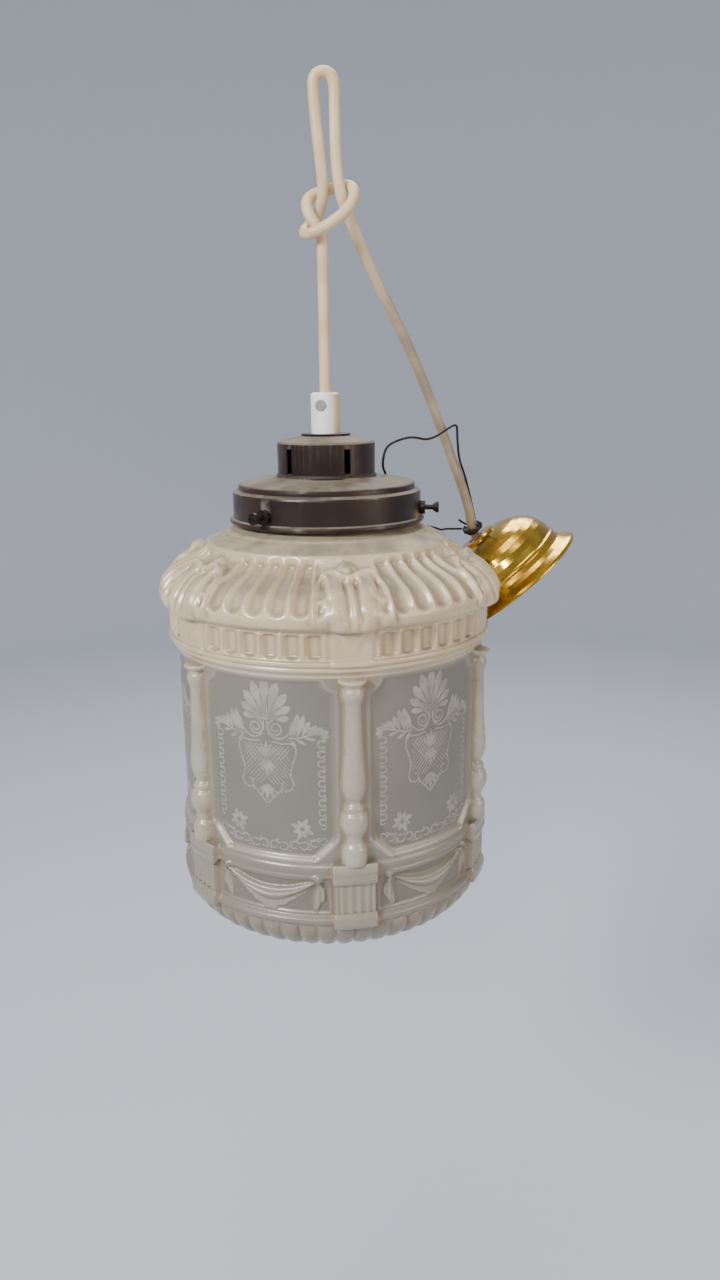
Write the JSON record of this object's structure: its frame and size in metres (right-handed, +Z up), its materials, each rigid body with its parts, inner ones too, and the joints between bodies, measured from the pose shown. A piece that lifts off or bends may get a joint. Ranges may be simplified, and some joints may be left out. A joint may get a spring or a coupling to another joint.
{
  "type": "pendant ceiling light",
  "caption": "Glass pendant light hung by a knotted flex loop: lobed frosted shade with columns, spun gallery, lampholder and brass canopy.",
  "frame": {"origin": "top of the inside of the hanging loop, where the hook carries the lamp", "axes": "+Z up along the lamp's axis; a column of the shade faces -Y; the canopy hangs towards +X and +Y"},
  "size_m": [0.2711, 0.2106, 0.4754],
  "materials": {
    "cord": "aged cream PVC flex",
    "grip": "ivory moulding, a little yellowed",
    "screw_steel": "plain steel screw",
    "bronze": "dark brown bronzed sheet, dusty",
    "screw_dark": "blackened screws",
    "glass": "satin pearl glass, frosted panels",
    "brass": "polished brass",
    "iron_wire": "dark iron wire",
    "nipple_brass": "turned brass",
    "zinc": "zinc plated steel",
    "bakelite": "dark bakelite",
    "porcelain": "white porcelain",
    "core_brown": "brown core insulation",
    "core_blue": "blue core insulation",
    "block_plastic": "natural nylon"
  },
  "bodies": {
    "root": {"hanging_cord": "cord", "terminal_block": "block_plastic", "terminal_block_screws": "zinc", "canopy_conductor_live": "core_brown", "canopy_conductor_neutral": "core_blue", "tie_wire_windings": "iron_wire"},
    "lamp": {"cord_drop": "cord", "cord_grip": "grip", "top_washer": "bronze", "nipple": "nipple_brass", "nipple_nuts": "zinc", "holder_cup": "bronze", "gallery": "bronze", "screw_bosses": "screw_dark", "holder_cap": "bakelite", "holder_skirt": "bakelite", "holder_insert": "porcelain", "thread_shell": "nipple_brass", "centre_contact": "nipple_brass", "side_contact": "nipple_brass", "holder_terminal_screws": "zinc", "holder_conductor_live": "core_brown", "holder_conductor_neutral": "core_blue", "tie_wire_upper": "iron_wire", "tie_wire_lower": "iron_wire"},
    "grip_screw": {"grip_screw": "screw_steel"},
    "thumb_screw_1": {"thumb_screw_1": "screw_dark"},
    "thumb_screw_2": {"thumb_screw_2": "screw_dark"},
    "thumb_screw_3": {"thumb_screw_3": "screw_dark"},
    "shade": {"glass_shade": "glass"},
    "canopy": {"canopy_dome": "brass", "canopy_collar": "brass"}
  },
  "joints": [
    {"name": "lamp_swing", "type": "hinge", "parent": "root", "child": "lamp", "pos_m": [0, 0, -0.082], "axis": [0.8506, 0.5259, 0], "range_deg": [-6, 6], "deforming": ["cord_drop", "tie_wire_upper", "tie_wire_lower"]},
    {"name": "shade_turn", "type": "hinge", "parent": "lamp", "child": "shade", "pos_m": [0, 0, -0.2204], "axis": [0, 0, 1], "continuous": true},
    {"name": "grip_clamp", "type": "slide", "parent": "lamp", "child": "grip_screw", "axis": [-0.454, -0.891, 0], "range_m": [0, 0.0025]},
    {"name": "canopy_tilt", "type": "hinge", "parent": "root", "child": "canopy", "pos_m": [0.1082, 0.0669, -0.254], "axis": [-0.2484, -0.9687, 0], "range_deg": [0, 18]},
    {"name": "thumb_screw_1_travel", "type": "slide", "parent": "lamp", "child": "thumb_screw_1", "axis": [-0.7071, -0.7071, 0], "range_m": [0, 0.006]},
    {"name": "thumb_screw_2_travel", "type": "slide", "parent": "lamp", "child": "thumb_screw_2", "axis": [0.9659, -0.2588, 0], "range_m": [0, 0.006]},
    {"name": "thumb_screw_3_travel", "type": "slide", "parent": "lamp", "child": "thumb_screw_3", "axis": [-0.2588, 0.9659, 0], "range_m": [0, 0.006]}
  ]
}
